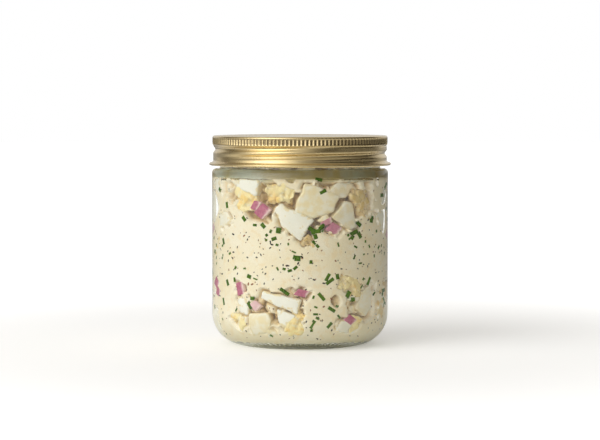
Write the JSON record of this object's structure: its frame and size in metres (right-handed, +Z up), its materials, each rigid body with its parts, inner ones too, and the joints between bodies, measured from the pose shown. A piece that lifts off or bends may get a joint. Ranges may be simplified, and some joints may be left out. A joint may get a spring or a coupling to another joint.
{
  "type": "jar of egg salad",
  "caption": "Creamy egg salad with chopped egg white, yolk, red onion and chives in a clear straight-sided glass jar, shut by a gold knurled metal screw lid.",
  "frame": {"origin": "middle of the jar's foot, on the surface that it stands on", "axes": "+Z up the jar to its lid, -Y towards the side that the picture shows, +X to that side's right"},
  "size_m": [0.092, 0.092, 0.1053],
  "materials": {
    "clear_glass": "polished",
    "gold_metal": "satin",
    "egg_salad": "satin",
    "egg_white": "satin",
    "egg_yolk": "matte",
    "red_onion": "satin",
    "chive": "satin",
    "black_pepper": "matte"
  },
  "bodies": {
    "root": {"jar": "clear_glass", "lid": "gold_metal", "egg_salad": "egg_salad"}
  },
  "joints": []
}
